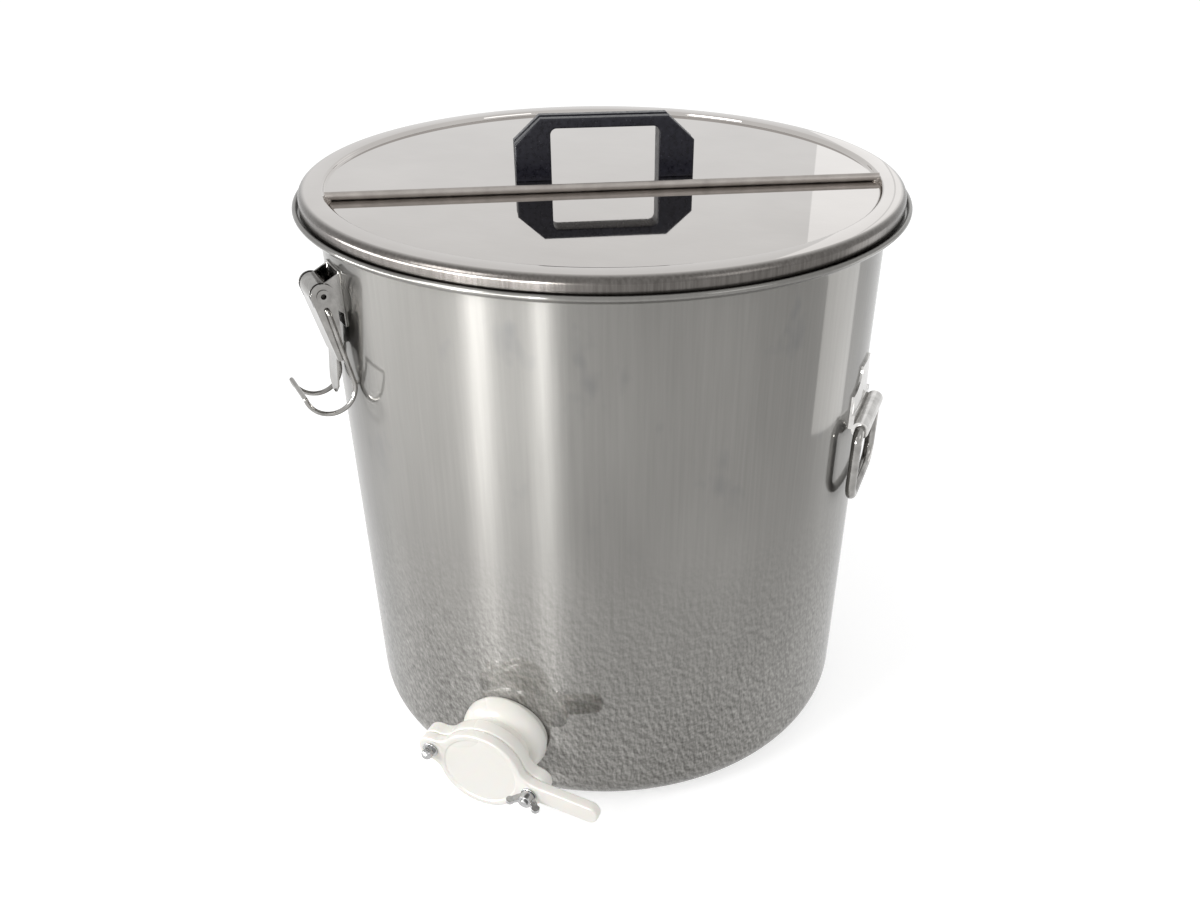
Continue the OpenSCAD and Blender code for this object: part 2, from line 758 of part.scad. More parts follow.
tank_shell();
tank_rim();
lid_panel();
lid_ring();
lid_rod();
lid_handle();
lid_handle_screws();
lid_handle_washers();
latch_base(latch_turn);  // front_latch_base
latch_lever(latch_turn);  // front_latch_lever
latch_rivet(latch_turn);  // front_latch_rivet
latch_bail(latch_turn);  // front_latch_bail
latch_base(latch_turn + half_turn);  // rear_latch_base
latch_lever(latch_turn + half_turn);  // rear_latch_lever
latch_rivet(latch_turn + half_turn);  // rear_latch_rivet
latch_bail(latch_turn + half_turn);  // rear_latch_bail
handle_bracket(right_turn);  // right_handle_bracket
handle_bail(right_turn);  // right_handle_bail
handle_bracket(left_turn);  // left_handle_bracket
handle_bail(left_turn);  // left_handle_bail
gate_body();
gate_outer_gasket();
gate_inner_gasket();
gate_lock_nut();
gate_blade();
gate_pivot_bolt();
gate_pivot_nut();
gate_clamp_bolt();
gate_wing_nut();
gate_washers();
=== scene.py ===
import math

import bmesh
import bpy
import numpy as np
from mathutils import Matrix
from mathutils.geometry import tessellate_polygon


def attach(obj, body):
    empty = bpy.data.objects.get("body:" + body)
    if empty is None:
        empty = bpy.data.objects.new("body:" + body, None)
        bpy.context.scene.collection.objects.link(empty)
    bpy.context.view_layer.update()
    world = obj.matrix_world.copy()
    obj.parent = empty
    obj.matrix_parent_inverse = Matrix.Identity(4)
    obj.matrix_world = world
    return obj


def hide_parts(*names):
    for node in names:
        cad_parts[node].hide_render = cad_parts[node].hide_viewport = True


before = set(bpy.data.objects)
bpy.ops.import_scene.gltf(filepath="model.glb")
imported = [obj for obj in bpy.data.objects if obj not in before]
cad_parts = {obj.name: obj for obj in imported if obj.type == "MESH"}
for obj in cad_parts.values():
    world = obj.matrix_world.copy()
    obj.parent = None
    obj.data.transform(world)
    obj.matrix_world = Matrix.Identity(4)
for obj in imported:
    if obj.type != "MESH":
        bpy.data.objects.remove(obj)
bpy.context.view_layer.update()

# Camera: it stands a little above the lid and looks down at the front of the tank, turned towards
# the side with the right drop handle. Its focal length and its middle are in pixels of the picture.
picture_w, picture_h, focal, middle_x, middle_y = 1200, 900, 1081, 634, 559
sensor_w = 36.0
eye, heading, pitch, roll = (0.2756, -0.6742, 0.594), 20.5, 34.7, 0.53
bpy.context.scene.view_settings.view_transform = "Standard"


def placed(name, data):
    """A new object in the scene, made of a camera, a lamp or a mesh."""
    made = bpy.data.objects.new(name, data)
    bpy.context.scene.collection.objects.link(made)
    return made


def look(place, heading, pitch, roll):
    """Camera axes: level heading turned from +Y about Z, pitched down, then rolled about the view."""
    h, p, r = (math.radians(a) for a in (heading, pitch, roll))
    right = np.array([math.cos(h), math.sin(h), 0.0])
    level = np.array([-math.sin(h), math.cos(h), 0.0])
    ahead = math.cos(p) * level - math.sin(p) * np.array([0.0, 0.0, 1.0])
    up = np.cross(right, ahead)
    x = math.cos(r) * right + math.sin(r) * up
    y = math.cos(r) * up - math.sin(r) * right
    m = np.eye(4)
    m[:3, 0], m[:3, 1], m[:3, 2], m[:3, 3] = x, y, -ahead, place
    return Matrix(m.tolist())


lens = bpy.data.cameras.new("camera")
camera = placed("camera", lens)
bpy.context.scene.camera = camera
lens.sensor_width = sensor_w
lens.lens = sensor_w * focal / picture_w
lens.shift_x = (picture_w / 2 - middle_x) / picture_w
lens.shift_y = (middle_y - picture_h / 2) / picture_w
lens.dof.use_dof = False
camera.matrix_world = look(eye, heading, pitch, roll)

# Studio: a plain pale floor under a white sky, lit by a soft key and a soft fill. Low strips that only
# gloss can see draw upright streaks in the brushed wall, a panel on the right lights its edge, and
# three panes stand behind the lid.
strip_z, strip_h = 0.25, 0.14
sky_light, sky_seen = 0.66, 1.0
floor_half, floor_z, floor_pale, floor_glow = 6.0, -0.0005, 0.62, 0.62


def soft_panel(name, bearing, reach, foot, width, height, glow, diffuse=True):
    """An upright oblong lamp that faces the tank's axis. The bearing runs from the gate's side, -Y,
    towards +X. Its power is glow times pi times its area, so glow is its brightness against white."""
    lamp = bpy.data.lights.new(name, "AREA")
    lamp.shape = "RECTANGLE"
    lamp.size, lamp.size_y, lamp.energy = width, height, glow * math.pi * width * height
    a = math.radians(bearing)
    back = np.array([math.sin(a), -math.cos(a), 0.0])
    m = np.eye(4)
    m[:3, 0], m[:3, 1], m[:3, 2] = np.cross([0, 0, 1.0], back), [0, 0, 1.0], back
    m[:3, 3] = reach * back + np.array([0, 0, foot + height / 2])
    panel = placed(name, lamp)
    panel.matrix_world = Matrix(m.tolist())
    panel.visible_camera = False
    panel.visible_diffuse = diffuse


for name, bearing, reach, width, glow in (
        ("panel_left", -54, 0.95, 0.72, 27), ("panel_front", -14, 0.95, 0.64, 22),
        ("streak_left", -22, 0.93, 0.10, 102), ("streak_front", 1, 0.93, 0.05, 123)):
    soft_panel(name, bearing, reach, strip_z, width, strip_h, glow, diffuse=False)
soft_panel("panel_right", 118, reach=0.62, foot=0.01, width=0.24, height=0.38, glow=1.1, diffuse=False)
for name, bearing in (("window_left", 183), ("window_middle", 176), ("window_right", 169)):
    soft_panel(name, bearing, reach=1.5, foot=0.60, width=0.17, height=0.62, glow=0.30)
soft_panel("key", -34, reach=1.9, foot=0.9, width=0.9, height=1.0, glow=9.0)
soft_panel("fill", 70, reach=1.9, foot=0.9, width=0.8, height=1.0, glow=1.5)


def sums(tree, operation, a, b):
    """One Math node on two sockets or numbers."""
    node = tree.nodes.new("ShaderNodeMath")
    node.operation = operation
    for k, v in enumerate((a, b)):
        if isinstance(v, (int, float)):
            node.inputs[k].default_value = v
        else:
            tree.links.new(v, node.inputs[k])
    return node.outputs[0]


def band(tree, value, low, high, to_low, to_high, smooth=False):
    """Carries a value's range onto another range, held at its ends, along a line or an S curve."""
    node = tree.nodes.new("ShaderNodeMapRange")
    node.interpolation_type = "SMOOTHSTEP" if smooth else "LINEAR"
    for key, v in (("From Min", low), ("From Max", high), ("To Min", to_low), ("To Max", to_high)):
        node.inputs[key].default_value = v
    tree.links.new(value, node.inputs["Value"])
    return node.outputs["Result"]


def seen_or_mirrored(tree):
    """1 for rays from the camera, from gloss and through glass; 0 for rays that light a surface."""
    path = tree.nodes.new("ShaderNodeLightPath").outputs
    mirrored = sums(tree, "MAXIMUM", path["Is Glossy Ray"], path["Is Transmission Ray"])
    return sums(tree, "MAXIMUM", path["Is Camera Ray"], mirrored)


def finish(name, **sockets):
    """A node material; each keyword sets the shader's socket of that name."""
    made = bpy.data.materials.new(name)
    made.use_nodes = True
    shader = made.node_tree.nodes["Principled BSDF"]
    for key, value in sockets.items():
        shader.inputs[key.replace("_", " ")].default_value = value
    return made, made.node_tree, shader


sky = bpy.data.worlds.new("white_sky")
bpy.context.scene.world = sky
sky.use_nodes = True
tree = sky.node_tree
background = tree.nodes["Background"]
background.inputs["Color"].default_value = (1, 1, 1, 1)
tree.links.new(band(tree, seen_or_mirrored(tree), 0, 1, sky_light, sky_seen), background.inputs["Strength"])

floor_mesh = bpy.data.meshes.new("floor")
corners = [(-1, -1), (1, -1), (1, 1), (-1, 1)]
floor_mesh.from_pydata([(floor_half * x, floor_half * y, floor_z) for x, y in corners], [], [(0, 1, 2, 3)])
floor = placed("floor", floor_mesh)
white_floor, tree, shader = finish("white_floor", Base_Color=(floor_pale, floor_pale, floor_pale, 1),
                                   Roughness=0.9, Emission_Color=(1, 1, 1, 1))
glowing = sums(tree, "MULTIPLY", seen_or_mirrored(tree), floor_glow)
tree.links.new(glowing, shader.inputs["Emission Strength"])
floor_mesh.materials.append(white_floor)

# Tank shell: one drawn stainless vessel with a rounded bottom edge, polished and faintly brushed
# round the wall. The rim is flared to a ledge for the lid, and its edge is rolled into a lip.
tank_r, tank_h, sheet, bottom_r = 0.1855, 0.390, 0.001, 0.025
rim_r, ledge_z, lip_r, flare_r, nook_r = 0.2000, 0.3865, 0.0016, 0.005, 0.001
gate_z, gate_hole_r = 0.064, 0.0265
same_point = 1e-6


def grid(xyz, closed_u=False, closed_v=False):
    """Points and quads of the surface xyz[i, j]: quads join neighbours, and a closed direction joins
    its last row to its first."""
    n, m = xyz.shape[:2]
    i = np.arange(n if closed_u else n - 1)[:, None]
    j = np.arange(m if closed_v else m - 1)[None, :]
    a, b = i * m + j, i * m + (j + 1) % m
    c, d = ((i + 1) % n) * m + (j + 1) % m, ((i + 1) % n) * m + j
    return xyz.reshape(-1, 3), np.stack([a, b, c, d], -1).reshape(-1, 4)


def piece(name, surfaces, body, sharp=35):
    """One mesh from several surfaces: merges doubles, so that poles and seams close, turns the faces
    outward, marks edges sharper than the angle, and lets the piece ride on its body."""
    starts = np.cumsum([0] + [len(points) for points, _ in surfaces])
    points = np.concatenate([points for points, _ in surfaces])
    faces = []
    for start, (_, rows) in zip(starts, surfaces):
        faces += (np.asarray(rows) + start).tolist()
    mesh = bpy.data.meshes.new(name)
    mesh.from_pydata(points.tolist(), [], faces)
    work = bmesh.new()
    work.from_mesh(mesh)
    bmesh.ops.remove_doubles(work, verts=work.verts, dist=same_point)
    bmesh.ops.recalc_face_normals(work, faces=work.faces)
    work.to_mesh(mesh)
    work.free()
    mesh.shade_smooth()
    mesh.set_sharp_from_angle(angle=math.radians(sharp))
    made = placed(name, mesh)
    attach(made, body)
    return made


def arc(cx, cy, r, start, end, steps):
    """Points on a circle from one bearing to another, in degrees."""
    t = np.radians(np.linspace(start, end, steps))
    return np.stack([cx + r * np.cos(t), cy + r * np.sin(t)], -1)


def turned(profile, steps):
    """Spins a profile of (radius, height) points about Z: x = r cos t, y = r sin t."""
    t = np.linspace(0, 2 * np.pi, steps, endpoint=False)
    r, z = profile[:, :1], profile[:, 1:]
    return np.stack([r * np.cos(t), r * np.sin(t), z + 0 * t], -1)


lip_x, lip_z = rim_r - lip_r, tank_h - lip_r
flare_x, flare_z = tank_r + flare_r, ledge_z - sheet - flare_r
bottom_x = tank_r - bottom_r
rows_at_gate, rows_above = np.linspace(0.027, 0.105, 50), np.linspace(0.115, 0.375, 14)
wall_z = np.concatenate([rows_at_gate, rows_above])
shell_line = np.concatenate([
    [[0, 0]], arc(bottom_x, bottom_r, bottom_r, -90, 0, 20),
    np.stack([np.full(len(wall_z), tank_r), wall_z], -1),
    arc(flare_x, flare_z, flare_r, 180, 90, 10), [[lip_x - sheet / 2, ledge_z - sheet]],
    arc(lip_x, lip_z, lip_r, -60, 225, 26),
    arc(lip_x - 1.5 * nook_r, ledge_z + nook_r, nook_r, 0, -90, 5),
    arc(flare_x, flare_z, flare_r + sheet, 90, 180, 10),
    np.stack([np.full(len(wall_z), tank_r - sheet), wall_z[::-1]], -1),
    arc(bottom_x, bottom_r, bottom_r - sheet, 0, -90, 20), [[0, sheet]]])
points, quads = grid(turned(shell_line, 440), closed_v=True)
middle = points[quads].mean(1)
gate_hole = (np.hypot(middle[:, 0], middle[:, 2] - gate_z) < gate_hole_r) & (middle[:, 1] < 0)
shell = piece("tank_wall", [(points, quads[~gate_hole])], "tank")
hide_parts("tank_shell", "tank_rim")


def grain(tree, stretch, scale, detail, rough, shift=(0, 0, 0)):
    """Noise from 0 to 1 on Object coordinates, drawn out along the axes by the three factors."""
    place = tree.nodes.new("ShaderNodeTexCoord")
    drawn = tree.nodes.new("ShaderNodeMapping")
    drawn.inputs["Scale"].default_value = stretch
    drawn.inputs["Location"].default_value = shift
    cloud = tree.nodes.new("ShaderNodeTexNoise")
    cloud.inputs["Scale"].default_value = scale
    cloud.inputs["Detail"].default_value = detail
    cloud.inputs["Roughness"].default_value = rough
    tree.links.new(place.outputs["Object"], drawn.inputs["Vector"])
    tree.links.new(drawn.outputs["Vector"], cloud.inputs["Vector"])
    return cloud.outputs["Fac"]


def height_share(tree, low, high):
    """0 at the low height and 1 at the high one, along the piece's Z, smoothed at both ends."""
    place = tree.nodes.new("ShaderNodeTexCoord")
    split = tree.nodes.new("ShaderNodeSeparateXYZ")
    tree.links.new(place.outputs["Object"], split.inputs[0])
    return band(tree, split.outputs["Z"], low, high, 0, 1, smooth=True)


def vectors(tree, operation, a, b=None):
    """One Vector Math node on one or two sockets or triples of numbers; gives its outputs."""
    node = tree.nodes.new("ShaderNodeVectorMath")
    node.operation = operation
    for k, v in enumerate((a, b)):
        if isinstance(v, tuple):
            node.inputs[k].default_value = v
        elif v is not None:
            tree.links.new(v, node.inputs[k])
    return node.outputs


def from_axis(tree):
    """The arrow from the Z axis straight out to the point: its place with the height dropped."""
    place = tree.nodes.new("ShaderNodeTexCoord").outputs["Object"]
    return vectors(tree, "MULTIPLY", place, (1, 1, 0))["Vector"]


def inside_share(tree, radius, fade=0.0003):
    """1 on the faces within a radius that look up or towards the Z axis, as the tank's inside does:
    the normal's height less its share away from the axis is then above zero."""
    out = from_axis(tree)
    normal = tree.nodes.new("ShaderNodeNewGeometry").outputs["Normal"]
    inward = vectors(tree, "SUBTRACT", (0, 0, 1), vectors(tree, "NORMALIZE", out)["Vector"])["Vector"]
    facing = band(tree, vectors(tree, "DOT_PRODUCT", inward, normal)["Value"], 0.1, 0.3, 0, 1)
    within = band(tree, vectors(tree, "LENGTH", out)["Value"], radius - fade, radius, 1, 0)
    return sums(tree, "MULTIPLY", facing, within)


def tint(tree, value, stops):
    """A colour ramp through (place, colour) stops."""
    node = tree.nodes.new("ShaderNodeValToRGB")
    ramp = node.color_ramp
    while len(ramp.elements) < len(stops):
        ramp.elements.new(0.5)
    for element, (place, colour) in zip(ramp.elements, stops):
        element.position, element.color = place, (*colour, 1)
    tree.links.new(value, node.inputs["Fac"])
    return node.outputs["Color"]


def blend(tree, share, first, second):
    """The first colour where the share is 0 and the second where it is 1, each a socket or a triple of
    numbers. A Mix node's colours are its inputs 6 and 7 and its output 2."""
    node = tree.nodes.new("ShaderNodeMix")
    node.data_type = "RGBA"
    tree.links.new(share, node.inputs["Factor"])
    for k, colour in ((6, first), (7, second)):
        if isinstance(colour, tuple):
            node.inputs[k].default_value = (*colour, 1)
        else:
            tree.links.new(colour, node.inputs[k])
    return node.outputs[2]


def relief(tree, shader, value, strength, distance):
    """Feeds a height into the shader's normal."""
    node = tree.nodes.new("ShaderNodeBump")
    node.inputs["Strength"].default_value = strength
    node.inputs["Distance"].default_value = distance
    tree.links.new(value, node.inputs["Height"])
    tree.links.new(node.outputs["Normal"], shader.inputs["Normal"])


brushed_share = 0.40
handled_grey, inside_grey = (0.115, 0.118, 0.128), (0.52, 0.512, 0.498)
# Painted reflection: the outer wall's greys are far darker than the same steel on the lid and inside, and
# stand in for a darker floor reflected in the wall.
wall_greys_painted_dark = [(0.0, (0.097, 0.094, 0.088)), (0.35, (0.198, 0.193, 0.183)), (0.75, (0.340, 0.333, 0.316))]
wall_steel, tree, polished = finish("wall_steel", Metallic=1.0, Roughness=0.06)
low = height_share(tree, 0.24, 0.04)
lines = grain(tree, (1, 1, 0.03), 420, 3, 0.6)
pits = grain(tree, (1, 1, 0.62), 330, 2, 0.5)
# Painted shade: the pits less a shifted copy of them shade the colour low on the wall as if their relief
# were lit from one side, standing in for the mottled floor reflected there. The pits also feed a real bump
# on the brushed layer below.
pits_shifted_for_shade = grain(tree, (1, 1, 0.62), 330, 2, 0.5, (0.0007, 0.0004, 0.0008))
# Painted reflection: broad upright clouds in the colour draw soft light and dark streaks down the wall; the
# fine lines are the brushing's own grain.
painted_streaks = grain(tree, (1, 1, 0.4), 7, 3, 0.5)
tone = sums(tree, "ADD", sums(tree, "MULTIPLY", lines, 0.16), sums(tree, "MULTIPLY", painted_streaks, 0.54))
painted_relief_shade = sums(tree, "MULTIPLY", sums(tree, "SUBTRACT", pits, pits_shifted_for_shade), 1.3)
steel = tint(tree, sums(tree, "ADD", tone, sums(tree, "MULTIPLY", low, painted_relief_shade)), wall_greys_painted_dark)
touched = band(tree, grain(tree, (1, 1, 0.6), 27, 3, 0.65), 0.61, 0.72, 0.0, 0.34)
smears = sums(tree, "MULTIPLY", touched, height_share(tree, 0.20, 0.28))
handled = blend(tree, smears, steel, handled_grey)
lined = blend(tree, inside_share(tree, tank_r - sheet / 2), handled, inside_grey)
brushed = tree.nodes.new("ShaderNodeBsdfPrincipled")
brushed.inputs["Metallic"].default_value = 1.0
brushed.inputs["Roughness"].default_value = 0.38
brushed.inputs["Anisotropic"].default_value = 0.95
brushed.inputs["Anisotropic Rotation"].default_value = 0.25
round_wall = tree.nodes.new("ShaderNodeTangent")
round_wall.direction_type = "RADIAL"
round_wall.axis = "Z"
tree.links.new(round_wall.outputs["Tangent"], brushed.inputs["Tangent"])
for layer in (polished, brushed):
    tree.links.new(lined, layer.inputs["Base Color"])
relief(tree, brushed, sums(tree, "MULTIPLY", pits, low), 0.16, 0.0005)
both = tree.nodes.new("ShaderNodeMixShader")
both.inputs[0].default_value = brushed_share
tree.links.new(polished.outputs[0], both.inputs[1])
tree.links.new(brushed.outputs[0], both.inputs[2])
tree.links.new(both.outputs[0], tree.nodes["Material Output"].inputs["Surface"])
shell.data.materials.append(wall_steel)

# Lid: pressed from one mirror-polished sheet. A raised ring with a round shoulder runs round the sunk
# panel, and its brushed skirt drops inside the rolled lip onto the ledge.
lid_r, ring_in, crest_z, panel_z, lid_sheet = 0.1955, 0.1795, 0.3990, 0.3965, 0.001
shoulder_r, fold_r, lid_play = 0.0045, 0.0020, 0.0003
polish_end, skirt_start = lid_r - 0.0048, lid_r - 0.0012
crest_x, dip_x, panel_end = ring_in + 0.0017, ring_in - 0.0018, ring_in - 0.0030
foot_z = ledge_z + lid_play
panel_r = np.linspace(panel_end, 0, 40)
panel_line = np.stack([panel_r, np.full(len(panel_r), panel_z)], -1)
lid_line = np.concatenate([
    [[lid_r - lid_sheet, foot_z], [lid_r, foot_z]],
    arc(lid_r - shoulder_r, crest_z - shoulder_r, shoulder_r, 0, 84, 16),
    arc(crest_x, crest_z - fold_r, fold_r, 96, 150, 10),
    arc(dip_x, panel_z + fold_r, fold_r, -30, -90, 8),
    panel_line, panel_line[::-1] - [0, lid_sheet],
    arc(dip_x, panel_z + fold_r, fold_r + lid_sheet, -90, -30, 8),
    arc(crest_x, crest_z - fold_r, fold_r - lid_sheet, 150, 96, 8),
    arc(lid_r - shoulder_r, crest_z - shoulder_r, shoulder_r - lid_sheet, 84, 0, 10)])
lid = piece("lid_sheet", [grid(turned(lid_line, 360), closed_u=True, closed_v=True)], "lid")
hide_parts("lid_panel", "lid_ring")


def radius_share(tree, inner, outer):
    """0 at the inner radius from the Z axis and 1 at the outer one, smoothed at both ends."""
    return band(tree, vectors(tree, "LENGTH", from_axis(tree))["Value"], inner, outer, 0, 1, smooth=True)


mirror_greys = [(0.25, (0.465, 0.442, 0.424)), (0.75, (0.555, 0.531, 0.511))]
# Painted shade: the skirt's and shoulder's greys are kept far darker than the panel's, beside their brushed
# strokes, to tone down the lamps' highlight and stand in for dark reflections there.
skirt_greys_painted_dark = [(0.3, (0.090, 0.083, 0.077)), (0.7, (0.145, 0.136, 0.128))]
lid_steel, tree, shader = finish("lid_steel", Metallic=1.0)
rolled = grain(tree, (1, 40, 1), 60, 5, 0.6)
smear = grain(tree, (1, 1, 1), 14, 4, 0.5)
strokes = grain(tree, (1, 1, 0.06), 700, 3, 0.6)
edge = radius_share(tree, polish_end, skirt_start)
# The panel's colour carries roll marks and smears, partly the sheet's own marks and partly a painted sheen
# of lighter and darker reflections.
marks_and_painted_sheen = sums(tree, "ADD", sums(tree, "MULTIPLY", rolled, 0.3), sums(tree, "MULTIPLY", smear, 0.7))
joined = blend(tree, edge, tint(tree, marks_and_painted_sheen, mirror_greys), tint(tree, strokes, skirt_greys_painted_dark))
tree.links.new(joined, shader.inputs["Base Color"])
dull = sums(tree, "ADD", band(tree, smear, 0.3, 0.75, 0.015, 0.04), sums(tree, "MULTIPLY", edge, 0.22))
tree.links.new(dull, shader.inputs["Roughness"])
lid.data.materials.append(lid_steel)

# Lid rod: a round drawn steel bar that lies across the panel as a chord and stiffens the lid. A bead
# of weld at each end holds it to the ring.
lid_turn = math.radians(29.5)
rod_r, rod_y = 0.0025, -0.034
bead_l, bead_w, bead_h, bead_in, bead_sunk = 0.0036, 0.0029, 0.0026, 0.0008, 0.0022


def on_lid(points):
    """Points given along and across the handle, with height over the panel, set on the lid."""
    x, y, z = np.moveaxis(points, -1, 0)
    c, s = math.cos(lid_turn), math.sin(lid_turn)
    return np.stack([x * c - y * s, x * s + y * c, z + panel_z], -1)


def grained(name, scale, detail, rough, dark, pale, smooth, dull, metal=1.0):
    """A finish on one even noise: dark and smooth where it is low, pale and dull where it is high."""
    made, tree, shader = finish(name, Metallic=metal)
    even = grain(tree, (1, 1, 1), scale, detail, rough)
    tree.links.new(tint(tree, even, [(0.3, dark), (0.7, pale)]), shader.inputs["Base Color"])
    tree.links.new(band(tree, even, 0.3, 0.7, smooth, dull), shader.inputs["Roughness"])
    return made


def coat(material, *nodes):
    """Gives the material to solids that show just as they were packed."""
    for node in nodes:
        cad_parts[node].data.materials.clear()
        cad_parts[node].data.materials.append(material)


rod_steel = grained("rod_steel", 90, 4, 0.6, (0.31, 0.284, 0.264), (0.42, 0.390, 0.366), 0.38, 0.50)
coat(rod_steel, "lid_rod")

rod_end = math.sqrt(ring_in ** 2 - rod_y ** 2)
around = np.linspace(0, 2 * np.pi, 32, endpoint=False)
along = np.linspace(0, np.pi, 17)[:, None]
ripple = 1 + 0.06 * np.sin(5 * around) * np.sin(3 * along)
bead = np.stack([bead_l * np.cos(along) + 0 * around,
                 bead_w * np.sin(along) * np.cos(around) * ripple,
                 bead_h * np.sin(along) * np.sin(around) * ripple], -1)
beads = [grid(on_lid(bead + [side * (rod_end - bead_in), rod_y, rod_r - bead_sunk]), closed_v=True)
         for side in (-1, 1)]
welds = piece("rod_welds", beads, "lid", 60)
weld_greys = [(0.3, (0.22, 0.197, 0.180)), (0.7, (0.36, 0.33, 0.305))]
weld_steel, tree, shader = finish("weld_steel", Metallic=1.0, Roughness=0.45)
tree.links.new(tint(tree, grain(tree, (1, 1, 1), 500, 4, 0.6), weld_greys), shader.inputs["Base Color"])
welds.data.materials.append(weld_steel)

# Lid handle: a black moulded plastic bridge with cut top corners, softened edges and a groove round
# its outside edge. Two steel screws with washers, from under the lid, hold its legs.
grip_w, grip_h, grip_t, leg_w, bar, cut_w, cut_h = 0.058, 0.038, 0.017, 0.023, 0.006, 0.017, 0.015
grip_bend, grip_edge = 0.004, 0.0009
groove_half, groove_slope, groove_depth, groove_foot = 0.0025, 0.0002, 0.0012, 0.0008


def inset(outline, depth):
    """Moves each corner of a closed outline inward along its mitre, by one depth or one for each."""
    a, b = outline - np.roll(outline, 1, 0), np.roll(outline, -1, 0) - outline
    a, b = a / np.linalg.norm(a, axis=1)[:, None], b / np.linalg.norm(b, axis=1)[:, None]
    a, b = np.stack([-a[:, 1], a[:, 0]], -1), np.stack([-b[:, 1], b[:, 0]], -1)
    mitre = (a + b) / (1 + (a * b).sum(1))[:, None]
    return outline + mitre * np.broadcast_to(depth, len(outline))[:, None]


def level_ring(outline, height):
    """The outline's points with one height added."""
    return np.column_stack([outline, np.full(len(outline), height)])


def cap(rings, height):
    """A flat face at one height, inside the first outline and outside the others."""
    flat = [level_ring(ring, height) for ring in rings]
    return np.concatenate(flat), np.array(tessellate_polygon([ring.tolist() for ring in flat]))


def slab(outline, low, high, edge, holes=(), recesses=(), groove=(), steps=5):
    """A plate with rounded edges. Rings of the outline are drawn in by edge (1 - cos a) while their
    height stays edge (1 - sin a) short of each face; the caps close them, and tubes line the holes.
    Rows of groove give a height and how far each corner is drawn in there."""
    outline = outline[np.linalg.norm(outline - np.roll(outline, 1, 0), axis=1) > same_point / 10]
    a = np.linspace(0, np.pi / 2, steps + 1)
    short, drawn_in = edge * (1 - np.sin(a)), edge * (1 - np.cos(a))
    rows = [(low, 1.5 * edge), *zip((low + short)[::-1], drawn_in[::-1]), *groove,
            *zip(high - short, drawn_in), (high, 1.5 * edge)]
    rings = np.stack([level_ring(inset(outline, depth), z) for z, depth in rows])
    tubes = [grid(np.stack([level_ring(hole, z) for z in (low, high)]), closed_v=True) for hole in holes]
    return [grid(rings, closed_v=True), cap([rings[0, :, :2], *holes], low),
            cap([rings[-1, :, :2], *holes, *recesses], high), *tubes]


def ccw(outline):
    """The outline, turned round if its area is negative, so that it runs counter-clockwise."""
    x, y = outline.T
    return outline if (x * np.roll(y, -1) - y * np.roll(x, -1)).sum() > 0 else outline[::-1]


inner, head = grip_w - leg_w, grip_h - bar
grip_line = ccw(np.concatenate([
    [[-grip_w, 0], [-grip_w, grip_h - cut_h], [-grip_w + cut_w, grip_h], [grip_w - cut_w, grip_h],
     [grip_w, grip_h - cut_h], [grip_w, 0], [inner, 0]],
    arc(inner - grip_bend, head - grip_bend, grip_bend, 0, 90, 9),
    arc(grip_bend - inner, head - grip_bend, grip_bend, 90, 180, 9), [[-inner, 0]]]))
outside = (np.abs(grip_line[:, 0]) > grip_w - same_point) | (grip_line[:, 1] > grip_h - same_point)
raised = grip_line[:, 1] > same_point
sunk = np.where(outside & raised, groove_depth, np.where(outside, groove_foot, 0.0))
groove_floor = groove_half - groove_slope
groove = [(-groove_half, 0 * sunk), (-groove_floor, sunk), (groove_floor, sunk), (groove_half, 0 * sunk)]


def upright(surface):
    """Stands a flat surface up, so that its second axis is height, and sets it on the lid."""
    points, faces = surface
    return on_lid(np.stack([points[:, 0], -points[:, 2], points[:, 1]], -1)), faces


grip_slab = slab(grip_line, -grip_t / 2, grip_t / 2, grip_edge, groove=groove)
grip = piece("lid_grip", [upright(s) for s in grip_slab], "lid", 40)
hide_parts("lid_handle")

blacks = [(0.2, (0.005, 0.005, 0.009)), (0.55, (0.014, 0.014, 0.023)), (0.95, (0.14, 0.14, 0.16))]
black_plastic, tree, shader = finish("black_plastic", Specular_IOR_Level=0.28)
moulded = grain(tree, (1, 1, 1), 380, 3, 0.6)
dust = band(tree, grain(tree, (1, 1, 1), 900, 1, 0.5), 0.68, 0.76, 0.0, 0.30)
dusty = sums(tree, "ADD", sums(tree, "MULTIPLY", moulded, 0.7), dust)
tree.links.new(tint(tree, dusty, blacks), shader.inputs["Base Color"])
tree.links.new(band(tree, moulded, 0.3, 0.7, 0.22, 0.42), shader.inputs["Roughness"])
relief(tree, shader, moulded, 0.06, 0.0003)
grip.data.materials.append(black_plastic)

bright_steel = grained("bright_steel", 90, 5, 0.6, (0.20, 0.194, 0.185), (0.36, 0.352, 0.338), 0.10, 0.22)
coat(bright_steel, "lid_handle_screws", "lid_handle_washers")

# Lid latches: a pressed steel base with two ears on the wall, a pressed lever on a tubular rivet, and a
# bail of bent wire whose hook draws the lid down. Their sheet edges are slightly rounded.
sheet_edge, sharp_angle = 0.00025, math.radians(40)


def softened(node, body, width, material):
    """A copy of a solid with its doubles merged and flat triangles joined, and a narrow round run
    along its sharp edges."""
    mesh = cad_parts[node].data.copy()
    work = bmesh.new()
    work.from_mesh(mesh)
    bmesh.ops.remove_doubles(work, verts=work.verts, dist=same_point)
    bmesh.ops.dissolve_limit(work, angle_limit=math.radians(0.5), verts=work.verts, edges=work.edges)
    work.to_mesh(mesh)
    work.free()
    mesh.shade_smooth()
    mesh.set_sharp_from_angle(angle=sharp_angle)
    made = placed(node + "_soft", mesh)
    round_edge = made.modifiers.new("edge", "BEVEL")
    round_edge.width, round_edge.segments, round_edge.angle_limit = width, 2, sharp_angle
    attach(made, body)
    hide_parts(node)
    mesh.materials.clear()
    mesh.materials.append(material)


